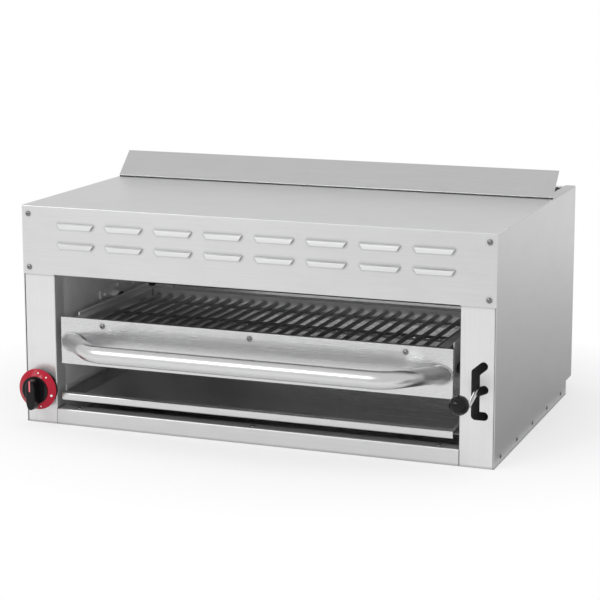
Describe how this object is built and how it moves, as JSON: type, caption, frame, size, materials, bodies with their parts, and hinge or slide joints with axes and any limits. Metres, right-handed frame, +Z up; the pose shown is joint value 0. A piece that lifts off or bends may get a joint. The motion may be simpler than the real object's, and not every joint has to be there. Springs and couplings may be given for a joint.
{
  "type": "cheese melter",
  "caption": "Countertop gas cheese melter with louvred valance, lever-lifted pull-out grate rack, tube handle, drip tray, control knob and rear flue deflector.",
  "frame": {"origin": "middle of the body's underside, between the side panels and midway from the front face to the back panel", "axes": "+X to the right as the user faces it, +Y to the back, +Z up"},
  "size_m": [0.922, 0.7255, 0.4645],
  "materials": {
    "stainless": "brushed",
    "stainless_inner": "satin, heat darkened",
    "tube": "polished stainless tube",
    "lever_steel": "bright plated rod",
    "fastener": "plain",
    "black_steel": "heat-resistant black",
    "grate": "bare, heat stained",
    "gas_pipe": "black pipe",
    "brass": "plain",
    "ceramic": "porous ceramic",
    "knob_black": "gloss",
    "knob_red": "gloss"
  },
  "bodies": {
    "cabinet": {"base_pan": "stainless", "left_side_panel": "stainless", "right_side_panel": "stainless", "rear_panel": "stainless", "top_panel": "stainless", "front_valance": "stainless", "left_post": "stainless", "right_post": "stainless", "bottom_rail": "stainless", "flue_deflector": "stainless", "left_liner": "stainless_inner", "right_liner": "stainless_inner", "rear_liner": "stainless_inner", "ceiling_baffle": "stainless_inner", "burner_rails": "stainless_inner", "burner_plenums": "stainless_inner", "ceramic_tiles": "ceramic", "tile_frames": "stainless_inner", "burner_screens": "grate", "venturi_tubes": "black_steel", "gas_manifold": "gas_pipe", "gas_jets": "brass", "gas_valve": "brass", "gas_inlet_pipe": "gas_pipe", "pilot_burner": "brass", "pivot_bushes": "black_steel", "tray_runners": "stainless_inner", "valance_screws": "fastener", "side_screws": "fastener", "rail_screws": "fastener"},
    "lift_arm": {"front_arm_right": "black_steel", "lever_shaft": "black_steel", "lever_yoke": "black_steel", "yoke_pin": "lever_steel"},
    "left_arm": {"front_arm_left": "black_steel"},
    "rear_arms": {"rear_arms": "black_steel", "rear_cross_shaft": "black_steel"},
    "lever": {"lever_rod": "lever_steel", "ball_knob": "knob_black"},
    "carriage": {"carriage_rails": "stainless_inner", "carriage_ties": "stainless_inner", "carriage_pins": "fastener"},
    "rack": {"rack_frame": "stainless", "rack_grate": "grate", "rack_front_panel": "stainless", "rack_handle": "tube", "rack_screws": "fastener"},
    "tray": {"drip_tray": "stainless"},
    "knob_collar": {"push_collar": "brass"},
    "knob": {"valve_stem": "brass", "knob_skirt": "knob_red", "knob_rim": "knob_black", "knob_grip": "knob_black", "knob_pointer": "knob_red"}
  },
  "joints": [
    {"name": "rack_lift", "type": "hinge", "parent": "cabinet", "child": "lift_arm", "pos_m": [0, -0.058, 0.204], "axis": [-1, 0, 0], "range_deg": [-9.4, 8.5]},
    {"name": "left_arm_turn", "type": "hinge", "parent": "cabinet", "child": "left_arm", "pos_m": [0, -0.058, 0.204], "axis": [-1, 0, 0], "range_deg": [-9.4, 8.5]},
    {"name": "rear_arms_turn", "type": "hinge", "parent": "cabinet", "child": "rear_arms", "pos_m": [0, 0.092, 0.204], "axis": [-1, 0, 0], "range_deg": [-9.4, 8.5]},
    {"name": "carriage_level", "type": "hinge", "parent": "lift_arm", "child": "carriage", "pos_m": [0, -0.23193, 0.15764], "axis": [-1, 0, 0], "range_deg": [-8.5, 9.4]},
    {"name": "lever_release", "type": "hinge", "parent": "lift_arm", "child": "lever", "pos_m": [0.4252, -0.08699, 0.19627], "axis": [0, -0.2575, 0.9663], "range_deg": [0, 2.5]},
    {"name": "rack_slide", "type": "slide", "parent": "carriage", "child": "rack", "axis": [0, -1, 0], "range_m": [0, 0.25]},
    {"name": "tray_slide", "type": "slide", "parent": "cabinet", "child": "tray", "axis": [0, -1, 0], "range_m": [0, 0.38]},
    {"name": "knob_push", "type": "slide", "parent": "cabinet", "child": "knob_collar", "axis": [0, 1, 0], "range_m": [0, 0.004], "stiffness_N_per_m": 800, "springref_m": -0.002},
    {"name": "knob_turn", "type": "hinge", "parent": "knob_collar", "child": "knob", "pos_m": [-0.424, -0.3, 0.069], "axis": [0, -1, 0], "range_deg": [0, 160]}
  ],
  "couplings": [
    {"joint": "left_arm_turn", "follows": "rack_lift", "ratio": 1},
    {"joint": "rear_arms_turn", "follows": "rack_lift", "ratio": 1},
    {"joint": "carriage_level", "follows": "rack_lift", "ratio": -1}
  ]
}
